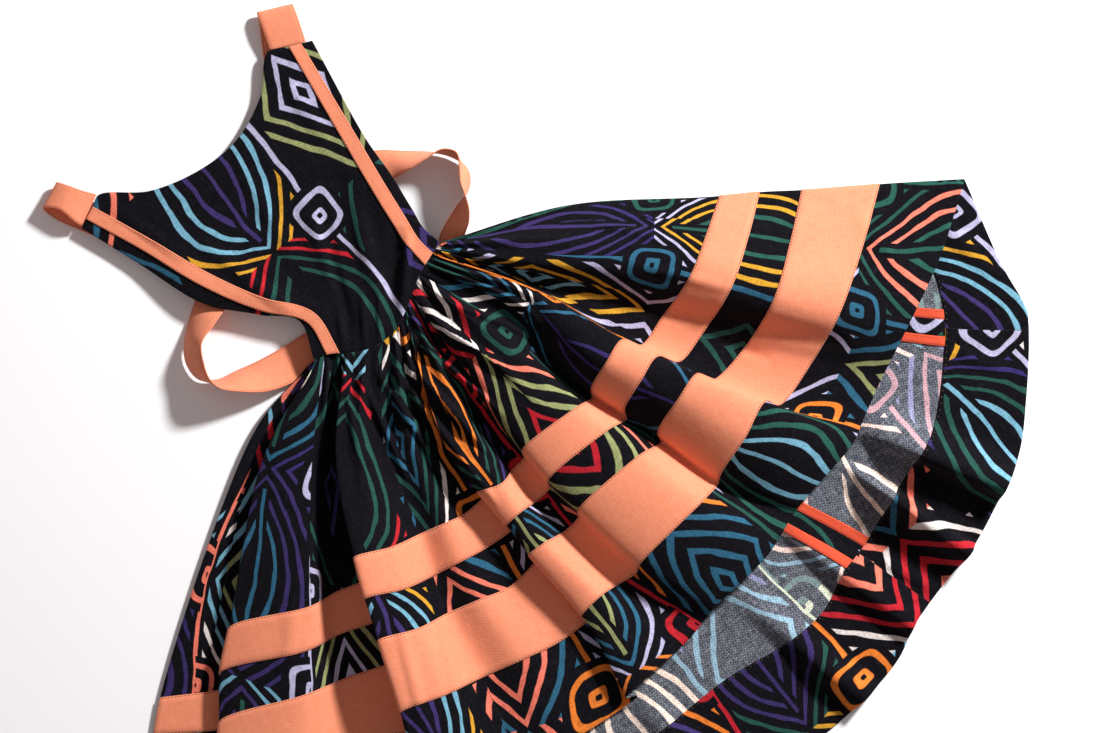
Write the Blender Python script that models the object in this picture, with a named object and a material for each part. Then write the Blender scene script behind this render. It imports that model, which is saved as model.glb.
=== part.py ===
# An apron dress laid flat: printed bib and gathered skirt, plain straps, tapes and bands.
# Every shape is given as the dress lies on the table, seen from straight above, in millimetres:
# "across" runs to the right, "down" runs towards the viewer, "height" is above the table.
import math

import bpy
import numpy as np

# Driving dimensions, mm.
PRINT_WALL = 1.2
STRAP_WALL = 1.5
TRIM_WALL = 1.0
SEAM_GAP = 0.3
BACK_WALL = 1.3
LAY_ANGLE = 50.0
WAIST_HEIGHT = 21.0
GATHER_HEIGHT = 2.0
COLUMNS_PER_GATHER = 4
# The middle of the bounding box of the dress as it lies: the row frame's origin.
ORIGIN_ACROSS = 450.7191
ORIGIN_DOWN = 448.8548

# The waist seam from the right corner to the left one: across, down.
WAIST = [
    (440, 243),
    (430, 258),
    (420, 275),
    (410, 300),
    (400, 325),
    (385, 340),
    (365, 350),
    (345, 353),
    (330, 354),
    (318, 359),
    (307, 366),
]

# The skirt front, a row per fold line from the right side seam to the left one.
# Columns: line, grid steps to the next line, mm along the waist and height there, then the line's
# place (across, down, height) at mid yoke, narrow band top and bottom, wide band top and bottom, hem.
FRONT_STATIONS = [0.0, 140.0, 280.0, 318.0, 360.0, 432.0, 518.0]
FRONT_ROWS = [4, 4, 1, 2, 2, 3]
FRONT_LINES = [
    ("side seam", 3, 0, 21,
     (571, 205, 10), (720, 196, 4), (760, 192, 3.6), (802, 190, 3.6), (880, 184, 4), (965, 179, 4)),
    ("slope A", 4, 2, 21,
     (559, 232, 27), (707, 232, 26), (748, 236, 26), (790, 240, 26), (862, 246, 22), (940, 256, 13)),
    ("crest A", 5, 5, 21,
     (545, 262, 36), (690, 275, 40), (731, 286, 42), (773, 297, 44), (838, 313, 36), (905, 330, 22)),
    ("valley A", 3, 9, 21,
     (551, 283, 12), (660, 320, 9), (702, 334, 9), (745, 347, 8), (812, 362, 8), (880, 382, 7)),
    ("foot B", 3, 13, 21,
     (546, 291, 13), (642, 345, 13), (680, 362, 13), (714, 380, 13), (781, 405, 12), (862, 422, 9)),
    ("edge B", 3, 17, 21,
     (539, 293, 25), (620, 341, 44), (655, 358, 46), (694, 375, 47), (762, 403, 43), (852, 443, 22)),
    ("crest B", 4, 21, 21,
     (529, 299, 28), (606, 362, 50), (641, 379, 50), (678, 397, 50), (744, 436, 46), (832, 467, 26)),
    ("brow B", 3, 26, 21,
     (519, 308, 22), (592, 386, 28), (625, 407, 27), (658, 430, 25), (721, 472, 23), (801, 503, 17)),
    ("valley B", 4, 32, 21,
     (512, 318, 12), (592, 398, 9), (627, 419, 9), (661, 442, 9), (718, 484, 9), (791, 517, 8)),
    ("crest C", 5, 42, 21,
     (497, 340, 27), (575, 408, 38), (606, 431, 39), (637, 456, 40), (699, 503, 38), (768, 553, 23)),
    ("edge C", 3, 58, 21,
     (476, 380, 24), (524, 447, 32), (550, 477, 33), (580, 506, 33), (641, 561, 30), (715, 606, 18)),
    ("foot C", 2, 63, 21,
     (471, 391, 11), (524, 458, 11), (550, 488, 11), (578, 518, 10), (636, 573, 9), (706, 618, 8)),
    ("valley C", 3, 68, 21,
     (464, 398, 9), (512, 470, 7), (538, 500, 7), (565, 531, 7), (616, 586, 7), (688, 640, 6)),
    ("crest D", 3, 75, 21,
     (455, 408, 23), (500, 484, 30), (519, 513, 31), (543, 543, 31), (598, 597, 28), (647, 676, 18)),
    ("edge D", 2, 81, 21,
     (437, 424, 19), (478, 491, 24), (507, 525, 25), (529, 554, 25), (582, 615, 22), (626, 697, 15)),
    ("under D", 2, 86, 21,
     (446, 421, 11), (489, 490, 10), (519, 524, 10), (541, 553, 10), (594, 614, 9.5), (637, 696, 8)),
    ("valley D", 4, 91, 21,
     (425, 427, 8), (466, 513, 6), (488, 547, 6), (511, 586, 6), (561, 641, 6), (602, 722, 5.5)),
    ("crest E", 4, 102, 21,
     (408, 432, 15), (445, 523, 15), (460, 562, 15), (480, 599, 15), (521, 660, 14), (560, 746, 10)),
    ("valley E", 4, 118, 21,
     (385, 442, 10), (420, 534, 9), (433, 576, 9), (448, 613, 9), (483, 677, 9), (520, 765, 7)),
    ("crest F", 4, 138, 21,
     (361, 449, 26), (392, 546, 37), (404, 588, 39), (418, 627, 39), (446, 693, 35), (478, 785, 23)),
    ("edge F", 2, 156, 22,
     (337, 453, 32), (356, 556, 48), (367, 597, 50), (380, 638, 50), (402, 710, 45), (422, 806, 30)),
    ("under F", 4, 162, 17.5,
     (347, 459, 12), (380, 572, 13),
     (391, 614, 13), (405, 655, 13), (427, 726, 12), (444, 819, 9)),
    ("valley G", 4, 169, 15,
     (330, 462, 5.5), (334, 593, 4.5),
     (338, 635, 4.5), (344, 679, 4.5), (352, 743, 4.5), (360, 836, 4.5)),
    ("edge G", 4, 180, 20,
     (312, 467, 19), (309, 606, 26), (306, 650, 27), (304, 694, 27), (299, 768, 25), (293, 860, 17)),
    ("edge H", 2, 186, 22,
     (262, 464, 20), (230, 628, 20),
     (221, 673, 20), (220, 722, 20), (213, 795, 19), (205, 885, 16)),
    ("fold H", 2, 189, 19,
     (272, 472, 12.5), (256, 650, 13),
     (247, 695, 13), (246, 744, 13), (239, 817, 12.5), (231, 901, 11)),
    ("under H", 2, 192, 16.2,
     (282, 482, 8), (281, 669, 8.7),
     (272, 715, 8.7), (271, 764, 8.7), (264, 837, 8.5), (256, 915, 7.5)),
    ("return H", 1, 195, 13.5,
     (270, 481, 5), (256, 680, 4.2),
     (247, 725, 4.2), (244, 771, 4.2), (236, 842, 4.2), (227, 921, 4.2)),
    ("valley H", 3, 197.5, 11.5,
     (256, 470, 5.5), (221, 690, 4.3),
     (211, 731, 4.2), (206, 775, 4.2), (197, 846, 4.2), (188, 925, 4.2)),
    ("left seam", 0, 200, 9.5,
     (243, 455, 7), (160, 698, 4), (153, 735, 3.6), (146, 779, 3.6), (132, 850, 4), (112, 928, 4)),
]

# The skirt back, a row per line from the right side seam to the left one. It lies under the front.
# Columns: line, grid steps to the next line, mm along the waist, facing's inner edge (across, down),
# hem (across, down).
BACK_ROWS = [2, 3, 3, 4]
BACK_LINES = [
    ("side seam", 4, 0, (880, 184), (965, 179)),
    ("right a", 3, 8, (915, 232), (1002, 264)),
    ("right b", 2, 14, (937, 278), (1021, 297)),
    ("seam 1 bind out", 1, 19, (944.5, 309.5), (1028, 312)),
    ("seam 1 allowance", 1, 22, (945.5, 319.5), (1029, 322)),
    ("seam 1", 1, 25, (946, 328), (1029.5, 330.5)),
    ("seam 1 allowance left", 1, 28, (946, 336.5), (1029.5, 339)),
    ("seam 1 bind left", 3, 31, (945.5, 346.5), (1029.5, 349)),
    ("right c", 3, 38, (942, 388), (1027, 396)),
    ("ring", 3, 46, (934, 428), (1020, 452)),
    ("valley 1", 4, 53, (916, 462), (1002, 494)),
    ("ridge 2", 4, 60, (897, 492), (975, 545)),
    ("seam 2 bind out", 1, 67, (870, 538), (942, 587)),
    ("seam 2 allowance", 1, 70, (864, 547), (936, 595)),
    ("seam 2", 1, 73, (858.5, 554), (930, 603)),
    ("seam 2 allowance left", 1, 76, (853, 561), (924, 611)),
    ("seam 2 bind left", 4, 79, (846, 569), (917, 620)),
    ("ridge 3", 4, 88, (824, 612), (899, 659)),
    ("ridge 4", 4, 97, (785, 645), (864, 700)),
    ("valley 4", 4, 106, (728, 679), (812, 745)),
    ("ridge 5", 3, 118, (645, 742), (700, 832)),
    ("left c", 3, 134, (535, 790), (560, 893)),
    ("left b", 3, 156, (400, 815), (400, 918)),
    ("left a", 3, 180, (262, 824), (250, 930)),
    ("left seam", 0, 200, (132, 850), (112, 928)),
]
# Soft ridges in the back: line, inner end (across, down), hem end (across, down), half width
# above and below the crest line, height, and the share of the line at which it is fully grown.
BACK_RIDGES = [
    ("ring roll", (845, 423), (1003, 489), 42, 14, 28, 0.45),
    ("narrow roll", (836, 460), (966, 549), 10, 27, 27, 0.45),
    ("broad swell", (745, 500), (905, 622), 32, 14, 14, 0.7),
    ("low roll", (700, 560), (862, 697), 26, 20, 19, 1.0),
    ("left roll", (600, 640), (715, 800), 28, 22, 16, 1.0),
]

# The bib, a row per line from its left side to its right side.
# Columns: line, grid steps to the next line, mm along the waist, then the line's place
# (across, down, height) at the neck or shoulder end and at four levels below it.
BIB_STATIONS = [0.0, 0.28, 0.55, 0.8, 0.92, 1.0]
BIB_ROWS = [4, 4, 3, 2, 2]
BIB_LINES = [
    ("left side", 1, 190,
     (82, 228, 10), (140, 264, 10), (203, 303, 18), (262, 315, 19), (303, 324, 21)),
    ("left tape outer", 2, 176,
     (86.5, 219, 10), (143, 250, 12), (203, 286, 19), (264, 311, 21), (310, 324, 22)),
    ("left tape inner", 1, 163,
     (92.8, 207, 10), (149, 238, 12), (210, 274, 18), (268, 299, 22), (318, 316, 22.5)),
    ("left neck corner", 2, 155,
     (99, 195, 10), (160, 224, 11), (224, 259, 15), (283, 289, 19), (328, 315, 21.5)),
    ("neck a", 2, 140,
     (150, 191, 9.5), (200, 214, 10), (250, 248, 13), (306, 288, 18), (344, 318, 20.5)),
    ("neck b", 2, 124,
     (200, 170, 9.5), (245, 200, 10), (290, 236, 13), (336, 276, 18), (364, 311, 20.5)),
    ("neck c", 2, 104,
     (236, 141, 9.5), (280, 172, 10), (320, 210, 13), (359, 256, 18), (383, 292, 20.5)),
    ("neck d", 2, 78, (260, 98, 9.5), (306, 142, 10), (345, 185, 14), (379, 237, 19), (399, 268, 21)),
    ("right neck corner", 2, 44,
     (268, 52, 10), (324, 136, 11), (357, 186, 17), (386, 228, 20), (406, 255, 21.5)),
    ("right tape inner", 2, 27,
     (289, 46.8, 10), (339, 133, 12), (369, 184, 19), (393, 223, 21), (409, 247, 22)),
    ("right tape outer", 1, 13,
     (301, 43.8, 10), (351, 127, 13), (381, 178, 20), (405, 217, 21), (420, 241, 22)),
    ("right side", 0, 0, (312, 41, 10), (361, 131, 14), (391, 175, 19), (413, 211, 20), (425, 230, 21)),
]

# Each strap, a row per section of the ribbon: one edge (across, down, height), the other edge
# (across, down, height), and how far the middle bulges out of the line between them, mm.
STRAP_RIGHT = [
    (270.1, 49.6, 10, 305.3, 41.9, 10, 0),
    (263, 29, 12, 298.5, 20.5, 12, 0),
    (258, 15.5, 10.5, 293.5, 7, 10.5, 0),
    (257, 12.5, 7, 292, 4, 7, 0),
    (258, 15.5, 3.4, 293, 7, 3.4, 0),
    (262, 45, 2.6, 297, 44, 2.6, 0),
    (266, 95, 2.5, 300, 104, 2.5, 0),
    (256, 140, 2.5, 288, 154, 2.5, 0),
    (236, 190, 2.5, 269, 202, 2.5, 0),
    (216, 245, 2.5, 249, 257, 2.5, 0),
    (201, 285, 2.5, 232, 297, 8, 0),
    (190, 315, 2.5, 214, 326, 25, 1),
    (184, 342, 2.5, 203, 344, 31, 2),
    (186, 364, 2.5, 206, 366, 31, 2),
    (198, 379, 2.5, 212, 380, 34, 1),
    (216, 380, 2.5, 222, 388, 36, -1),
    (236, 371, 2.5, 239, 391, 31, -2),
    (258, 361, 2.5, 268, 391, 16, -1),
    (285, 346, 2.5, 299, 379, 5, 0),
    (306, 333, 2.6, 320, 365, 4, 0),
    (322, 325, 2.6, 336, 356, 4, 0),
]
STRAP_LEFT = [
    (95.8, 194.8, 10, 81.5, 225.6, 10, 0),
    (82, 191, 14, 74, 220.5, 16, 0),
    (68, 186, 15, 60, 209.5, 18, 0),
    (57, 182.5, 9.5, 44, 207.5, 12, 0),
    (58, 184.5, 4, 45, 211, 5.5, 0),
    (70, 190, 2.5, 58, 220, 2.6, 0),
    (86, 200, 2.5, 76, 228, 2.5, 0),
    (116, 208, 2.5, 108, 240, 2.5, 0),
    (162, 212, 3.0, 162, 247, 3.0, 0),
    (215, 200, 5.4, 223, 234, 5.4, 0),
    (270, 181, 5.6, 280, 215, 5.6, 0),
    (330, 162, 5, 341, 195, 6, 0),
    (364, 153, 4.2, 377, 185, 8, 0),
    (381, 150, 3.5, 394, 178, 13, 0),
    (405, 151, 2.8, 412, 169, 30, 1),
    (425, 151.5, 2.6, 428, 159, 36, 1),
    (441, 153.5, 2.6, 442, 150.5, 37, 0),
    (452, 157, 2.6, 455, 152, 37, 0),
    (461, 162, 2.6, 459, 158, 37, 0),
    (468, 170, 2.6, 460, 168, 36, 2),
    (470, 182, 2.6, 461, 182, 36, 2),
    (466, 194, 2.6, 465, 194, 37, 1),
    (458, 204, 2.6, 469, 208, 36, -3),
    (449, 218, 2.6, 469, 222, 28, -3),
    (441, 233, 2.6, 464, 238, 12, -1),
    (437, 246, 2.6, 463, 256, 7, 0),
    (430, 262, 2.6, 460, 275, 5, 0),
]


def place(across, down, height):
    # A point of the layout in the row frame, in metres: the hem towards -Y, up is +Z.
    turn = math.radians(LAY_ANGLE)
    right = across - ORIGIN_ACROSS
    up = ORIGIN_DOWN - down
    x = right * math.sin(turn) + up * math.cos(turn)
    y = -right * math.cos(turn) + up * math.sin(turn)
    return np.stack([x, y, height], axis=-1) / 1000


def spline(points, knots, wanted):
    # A smooth curve through the points, read at the wanted knot values.
    points = np.asarray(points, float)
    knots = np.asarray(knots, float)
    slopes = np.zeros_like(points)
    steps = np.diff(knots)[:, None]
    rates = np.diff(points, axis=0) / steps
    slopes[1:-1] = (rates[:-1] * steps[1:] + rates[1:] * steps[:-1]) / (steps[1:] + steps[:-1])
    slopes[0] = rates[0]
    slopes[-1] = rates[-1]
    at = np.clip(np.searchsorted(knots, wanted, side="right") - 1, 0, len(knots) - 2)
    width = (knots[at + 1] - knots[at])[:, None]
    t = ((wanted - knots[at]) / width[:, 0])[:, None]
    h00 = 2 * t**3 - 3 * t**2 + 1
    h10 = t**3 - 2 * t**2 + t
    h01 = -2 * t**3 + 3 * t**2
    h11 = t**3 - t**2
    return h00 * points[at] + h10 * width * slopes[at] + h01 * points[at + 1] + h11 * width * slopes[at + 1]


def chord_knots(points):
    lengths = np.linalg.norm(np.diff(points, axis=0), axis=1)
    return np.concatenate([[0], np.cumsum(np.sqrt(lengths + 1e-6))])


def shares(knots, steps):
    # Grid positions: the given number of equal steps between each knot and the next.
    found = [knots[0]]
    for start, end, count in zip(knots[:-1], knots[1:], steps):
        found.extend(start + (end - start) * (k + 1) / count for k in range(count))
    return np.array(found)


def waist_point(along, height, shift):
    # The waist seam's point at this many mm from its right corner.
    line = np.array(WAIST, float)
    lengths = np.concatenate([[0], np.cumsum(np.linalg.norm(np.diff(line, axis=0), axis=1))])
    across, down = spline(line, lengths, np.array([along * lengths[-1] / 200.0]))[0]
    turn = math.radians(LAY_ANGLE)
    return (across - shift * math.cos(turn), down - shift * math.sin(turn), height)


def surface(lines, knots, row_steps, column_steps):
    # A grid of points: rows down the lines' stations, columns from line to line.
    rows = shares(np.asarray(knots, float), row_steps)
    down_lines = np.stack([spline(line, knots, rows) for line in lines], axis=1)
    grid = []
    for row in down_lines:
        across_knots = chord_knots(row)
        grid.append(spline(row, across_knots, shares(across_knots, column_steps)))
    return np.array(grid)


def back_height(across, down):
    # How high the back stands above the table at a place of the layout.
    height = np.zeros_like(across)
    for _, inner, outer, above, below, top, grown_at in BACK_RIDGES:
        along_x = outer[0] - inner[0]
        along_y = outer[1] - inner[1]
        length = math.hypot(along_x, along_y)
        along = ((across - inner[0]) * along_x + (down - inner[1]) * along_y) / length**2
        aside = ((across - inner[0]) * along_y - (down - inner[1]) * along_x) / length
        half_width = np.where(aside > 0, above, below)
        grown = np.clip(along / grown_at, 0, 1)
        grown = grown * grown * (3 - 2 * grown)
        profile = np.cos(np.clip(np.abs(aside) / half_width, 0, 1) * math.pi / 2) ** 2
        height = height + top * grown * profile
    return height


def unit(vectors):
    return vectors / np.maximum(np.linalg.norm(vectors, axis=-1, keepdims=True), 1e-12)


def normals(grid):
    # At each point, the middle way between the normals of the four corners that meet there.
    along = np.diff(grid, axis=1)
    down = np.diff(grid, axis=0)
    along_in = np.concatenate([along[:, :1], along], axis=1)
    along_out = np.concatenate([along, along[:, -1:]], axis=1)
    down_in = np.concatenate([down[:1], down], axis=0)
    down_out = np.concatenate([down, down[-1:]], axis=0)
    total = np.zeros_like(grid)
    for across_step in (along_in, along_out):
        for down_step in (down_in, down_out):
            total += unit(np.cross(across_step, down_step))
    return unit(total)


def sheet_node(name, grid, facing, low, high, colour):
    # A closed sheet between two offsets, in mm, of a grid of points along its normals.
    top = grid + facing * high / 1000
    bottom = grid + facing * low / 1000
    rows, columns = grid.shape[:2]
    count = rows * columns
    points = np.concatenate([top.reshape(-1, 3), bottom.reshape(-1, 3)])
    index = np.arange(count).reshape(rows, columns)
    faces = []
    for r in range(rows - 1):
        for c in range(columns - 1):
            a, b = index[r, c], index[r, c + 1]
            d, e = index[r + 1, c], index[r + 1, c + 1]
            faces += [(a, b, e), (a, e, d)]
            faces += [(a + count, e + count, b + count), (a + count, d + count, e + count)]
    rim = list(index[0, :]) + list(index[1:, -1]) + list(index[-1, -2::-1]) + list(index[-2:0:-1, 0])
    for a, b in zip(rim, rim[1:] + rim[:1]):
        faces += [(a, a + count, b + count), (a, b + count, b)]
    mesh = bpy.data.meshes.new(name)
    mesh.from_pydata([tuple(p) for p in points], [], [tuple(int(i) for i in f) for f in faces])
    mesh.validate()
    mesh.shade_smooth()
    material = bpy.data.materials.new(name)
    material.use_nodes = True
    shader = material.node_tree.nodes["Principled BSDF"]
    shader.inputs["Base Color"].default_value = (*colour, 1)
    shader.inputs["Roughness"].default_value = 0.9
    shader.inputs["Metallic"].default_value = 0
    material.diffuse_color = (*colour, 1)
    material.roughness = 0.9
    material.metallic = 0
    mesh.materials.append(material)
    bpy.context.scene.collection.objects.link(bpy.data.objects.new(name, mesh))


def build_front():
    lines = [[waist_point(line[2], line[3], -0.4)] + list(line[4:]) for line in FRONT_LINES]
    steps = [line[1] for line in FRONT_LINES[:-1]]
    grid = surface(lines, FRONT_STATIONS, FRONT_ROWS, steps)
    rows = shares(np.array(FRONT_STATIONS), FRONT_ROWS)
    # Gathers: small ridges that start at the waist seam and fade out in the yoke.
    rise = np.interp(rows, [0, 30, 70, 190], [0, 0.8, 1, 0])
    wave = np.cos(np.arange(grid.shape[1]) * 2 * math.pi / COLUMNS_PER_GATHER)
    wave[0] = wave[-1] = 0
    grid[:, :, 2] += GATHER_HEIGHT * rise[:, None] * wave[None, :]
    grid[:, :, 2] += back_height(grid[:, :, 0], grid[:, :, 1])
    points = place(grid[:, :, 0], grid[:, :, 1], grid[:, :, 2])
    facing = normals(points)
    half = PRINT_WALL / 2
    sheet_node("skirt_front", points, facing, -half, half, (0.02, 0.02, 0.03))
    starts = np.concatenate([[0], np.cumsum(FRONT_ROWS)])
    low = half + SEAM_GAP
    for name, first, last in (("skirt_band_narrow", 2, 3), ("skirt_band_wide", 4, 5)):
        rows_kept = slice(starts[first], starts[last] + 1)
        sheet_node(name, points[rows_kept], facing[rows_kept], low, low + TRIM_WALL, (0.95, 0.4, 0.25))


def build_back():
    lines = []
    for position, (_, _, along, inner, hem) in enumerate(BACK_LINES):
        start = waist_point(along, BACK_WALL / 2, -0.4)
        if position == 0:
            middle = [(571, 205), (720, 196)]
        elif position == len(BACK_LINES) - 1:
            middle = [(243, 455), (162, 700)]
        else:
            middle = [
                (start[0] + (inner[0] - start[0]) * share, start[1] + (inner[1] - start[1]) * share)
                for share in (0.36, 0.72)
            ]
        flat = [(start[0], start[1])] + middle + [inner, hem]
        lines.append([(across, down, BACK_WALL / 2) for across, down in flat])
    grid = surface(lines, [0, 0.3, 0.6, 0.83, 1.0], BACK_ROWS, [line[1] for line in BACK_LINES[:-1]])
    grid[:, :, 2] += back_height(grid[:, :, 0], grid[:, :, 1])
    points = place(grid[:, :, 0], grid[:, :, 1], grid[:, :, 2])
    facing = normals(points)
    half = BACK_WALL / 2
    sheet_node("skirt_back", points, facing, -half, half, (0.08, 0.09, 0.11))
    facing_row = sum(BACK_ROWS[:3])
    low = half + SEAM_GAP
    # The turned-up hem lies on the inside of the back.
    sheet_node(
        "hem_facing",
        points[facing_row:],
        facing[facing_row:],
        low,
        low + TRIM_WALL,
        (0.02, 0.02, 0.03),
    )
    starts = np.cumsum([0] + [line[1] for line in BACK_LINES[:-1]])
    columns = dict(zip([line[0] for line in BACK_LINES], starts))
    for seam in (1, 2):
        bind_out = columns[f"seam {seam} bind out"]
        rows_kept = slice(1, facing_row + 1)
        # The pressed-open allowance with its binding at either edge.
        for name, first, last, colour in (
            ("binding_a", bind_out, bind_out + 1, (0.8, 0.15, 0.08)),
            ("allowance", bind_out + 1, bind_out + 3, (0.02, 0.02, 0.03)),
            ("binding_b", bind_out + 3, bind_out + 4, (0.8, 0.15, 0.08)),
        ):
            part = points[rows_kept, first : last + 1].copy()
            lift = facing[rows_kept, first : last + 1]
            # Pieces side by side stay a seam gap apart, and the strips end before the facing.
            part[-1] += unit(part[-2] - part[-1]) * 0.0006
            part[:, 0] += (part[:, 1] - part[:, 0]) * 0.04
            part[:, -1] -= (part[:, -1] - part[:, -2]) * 0.04
            sheet_node(f"seam_{seam}_{name}", part, lift, low, low + TRIM_WALL, colour)


def build_bib():
    lines = [list(line[3:]) + [waist_point(line[2], WAIST_HEIGHT, 0.4)] for line in BIB_LINES]
    grid = surface(lines, BIB_STATIONS, BIB_ROWS, [line[1] for line in BIB_LINES[:-1]])
    points = place(grid[:, :, 0], grid[:, :, 1], grid[:, :, 2])
    facing = -normals(points)
    facing = facing * np.sign(facing[:, :, 2:3])
    half = PRINT_WALL / 2
    points = points[:, ::-1]
    facing = facing[:, ::-1]
    sheet_node("bib_front", points, facing, -half, half, (0.02, 0.02, 0.03))
    names = [line[0] for line in BIB_LINES][::-1]
    steps = [line[1] for line in BIB_LINES[:-1]][::-1]
    columns = dict(zip(names, np.cumsum([0] + steps)))
    low = half + SEAM_GAP
    for side, first, last in (
        ("right", "right tape outer", "right tape inner"),
        ("left", "left tape inner", "left tape outer"),
    ):
        part = slice(columns[first], columns[last] + 1)
        top = low + TRIM_WALL
        sheet_node(f"bib_tape_{side}", points[:, part], facing[:, part], low, top, (0.95, 0.4, 0.25))


def build_strap(name, table):
    table = np.array(table, float)
    one = table[:, 0:3]
    other = table[:, 3:6]
    middle = (one + other) / 2
    knots = chord_knots(middle)
    wanted = shares(knots, [3] * (len(knots) - 1))
    one = spline(one, knots, wanted)
    other = spline(other, knots, wanted)
    bulge = spline(table[:, 6:7], knots, wanted)
    middle = (one + other) / 2
    along = np.gradient(middle, axis=0)
    out = np.cross(other - one, along)
    out /= np.linalg.norm(out, axis=1, keepdims=True)
    grid = np.stack([one, middle + out * bulge, other], axis=1)
    points = place(grid[:, :, 0], grid[:, :, 1], grid[:, :, 2])
    half = STRAP_WALL / 2
    sheet_node(name, points, normals(points), -half, half, (0.95, 0.4, 0.25))


def main():
    for item in list(bpy.data.objects):
        bpy.data.objects.remove(item)
    build_back()
    build_front()
    build_strap("strap_right", STRAP_RIGHT)
    build_strap("strap_left", STRAP_LEFT)
    build_bib()


main()
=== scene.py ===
# Looks of the apron dress laid flat: its camera, light, cloth, print and stitches.
# Shapes are given as in the picture, in millimetres: "across" runs to the right, "down" runs down the
# picture, and "height" is above the table.
import math

import bpy
import mathutils
import numpy as np
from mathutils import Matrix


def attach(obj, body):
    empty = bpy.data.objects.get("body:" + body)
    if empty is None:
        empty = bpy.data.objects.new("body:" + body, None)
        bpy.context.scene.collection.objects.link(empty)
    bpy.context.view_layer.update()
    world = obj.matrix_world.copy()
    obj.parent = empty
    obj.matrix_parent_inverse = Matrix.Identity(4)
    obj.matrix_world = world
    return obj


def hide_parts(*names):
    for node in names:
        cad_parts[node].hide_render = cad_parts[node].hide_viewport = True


# Sizes of the cloth and its place, mm, and its turn on the table, degrees.
PRINT_WALL = 1.2
BACK_WALL = 1.3
STRAP_WALL = 1.2
SHELL_WALL = 0.8
SEAM_GAP = 0.3
WAIST_HEIGHT = 21.0
WAIST_SHIFT = 0.4
LAY_ANGLE = 50.0
ORIGIN_ACROSS = 450.7191
ORIGIN_DOWN = 448.8548

# Places along the waist seam are counted in this many equal parts, from its right corner.
WAIST_PARTS = 200.0
FRONT_SEAM_AT = 114

# Gathers: table steps from one to the next, and the heights of the three kinds, mm.
COLUMNS_PER_GATHER = 4
EVEN_GATHER = 2.0
UNEVEN_GATHER = 1.3
DEEP_GATHER = 4.2

# Grids: fine steps in each step of the tables, and a strap's rows in each section and its columns.
FINE_ROWS = 6
FINE_COLUMNS = 4
STRAP_ROWS = 9
STRAP_COLUMNS = 9

# Stitches: how far in from an edge, and pitch, length, width and height, mm.
EDGE_INSET = 0.9
STRAP_INSET = 1.0
BINDING_INSET = 1.6
HEM_INSET = 1.8
BAND_STITCH = (3.4, 2.4, 0.58, 0.3)
SEAM_STITCH = (3.4, 2.4, 0.7, 0.3)
HEM_STITCH = (6.5, 1.3, 0.7, 0.3)
FACING_SEAM_STITCH = (2.4, 2.3, 0.6, 0.12)
BINDING_STITCH = (2.8, 2.1, 0.45, 0.2)
TAPE_STITCH = (3.4, 2.5, 0.7, 0.35)
STRAP_STITCH = (3.4, 2.5, 0.75, 0.35)

# The print's layout, mm. LINE_HALF is a share of the pitch, and UNDRAWN the share of line pairs left out.
COLUMN_WIDTH = 136.0
ROW_HEIGHT = 214.0
RING_REACH = 32.0
SPINE_REACH = ROW_HEIGHT * 0.41
LINE_PITCH = 16.5
LINE_HALF = 0.165
UNDRAWN = 0.14
THREAD_PITCH = 2.3

# How far the print jumps at a seam, and its place on the turned-up hem, in metres.
FRONT_JUMP = (0.031, 0.085)
BACK_JUMP = (0.047, 0.12)
FACING_SHIFT = (0.41, 0.17)

# Camera and light: picture, lens and sensor in mm, bearing in degrees up from the picture's right.
PICTURE_WIDTH = 1100
PICTURE_HEIGHT = 733
CAMERA_LENS = 150.0
SENSOR_WIDTH = 36
FLOOR_REACH = 6.0
KEY_POWER = 185.0
KEY_DISTANCE = 3.2
KEY_WIDTH = 0.4
KEY_BEARING = 45.0
KEY_ELEVATION = 32.0
FILL_COLOUR = (1.0, 0.86, 0.85, 1)
FILL_STRENGTH = 0.3

# Flat sizes of the cut pieces, in metres.
BAND_FLATS = {"skirt_band_narrow": (1.2, 0.038), "skirt_band_wide": (1.25, 0.072)}
SEAM_FLATS = {"binding_a": (0.01, 0.42), "allowance": (0.018, 0.42), "binding_b": (0.01, 0.42)}
TAPE_FLAT = (0.013, 0.29)

# Colours, sRGB: the printed ground's two and its worn threads, the twills' light and deep one, threads.
PRINT_GROUND = (((8, 7, 11), (13, 12, 17)), (32, 30, 38))
INSIDE_GROUND = (((46, 49, 58), (84, 88, 98)), (158, 161, 168))
CORAL = ((238, 156, 122), (206, 102, 66))
RED = ((222, 88, 56), (168, 52, 34))
THREADS = {
    "thread": ("black_thread", (22, 18, 22)),
    "tape_thread": ("coral_thread", (196, 108, 82)),
    "binding_thread": ("dark_red_thread", (112, 26, 20)),
    "hem_thread": ("straw_thread", (104, 90, 62)),
}
# Colours of the print's lines, sRGB, right side and washed wrong side.
PRINT_COLOURS = [
    (212, 194, 62), (52, 42, 96), (198, 146, 46), (34, 74, 66), (216, 118, 46),
    (58, 47, 98), (226, 118, 98), (36, 80, 70), (176, 34, 44), (44, 92, 118),
    (140, 146, 98), (110, 162, 184), (54, 44, 92), (34, 74, 66), (44, 92, 118),
    (198, 146, 46), (172, 168, 198), (34, 74, 66), (218, 209, 204), (52, 42, 96),
]
INSIDE_COLOURS = [
    (236, 236, 214), (222, 218, 190), (120, 140, 140), (240, 218, 202),
    (158, 160, 190), (238, 208, 198), (190, 150, 158), (118, 142, 140),
    (218, 224, 200), (206, 228, 236), (140, 142, 178), (140, 172, 190),
]

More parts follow.
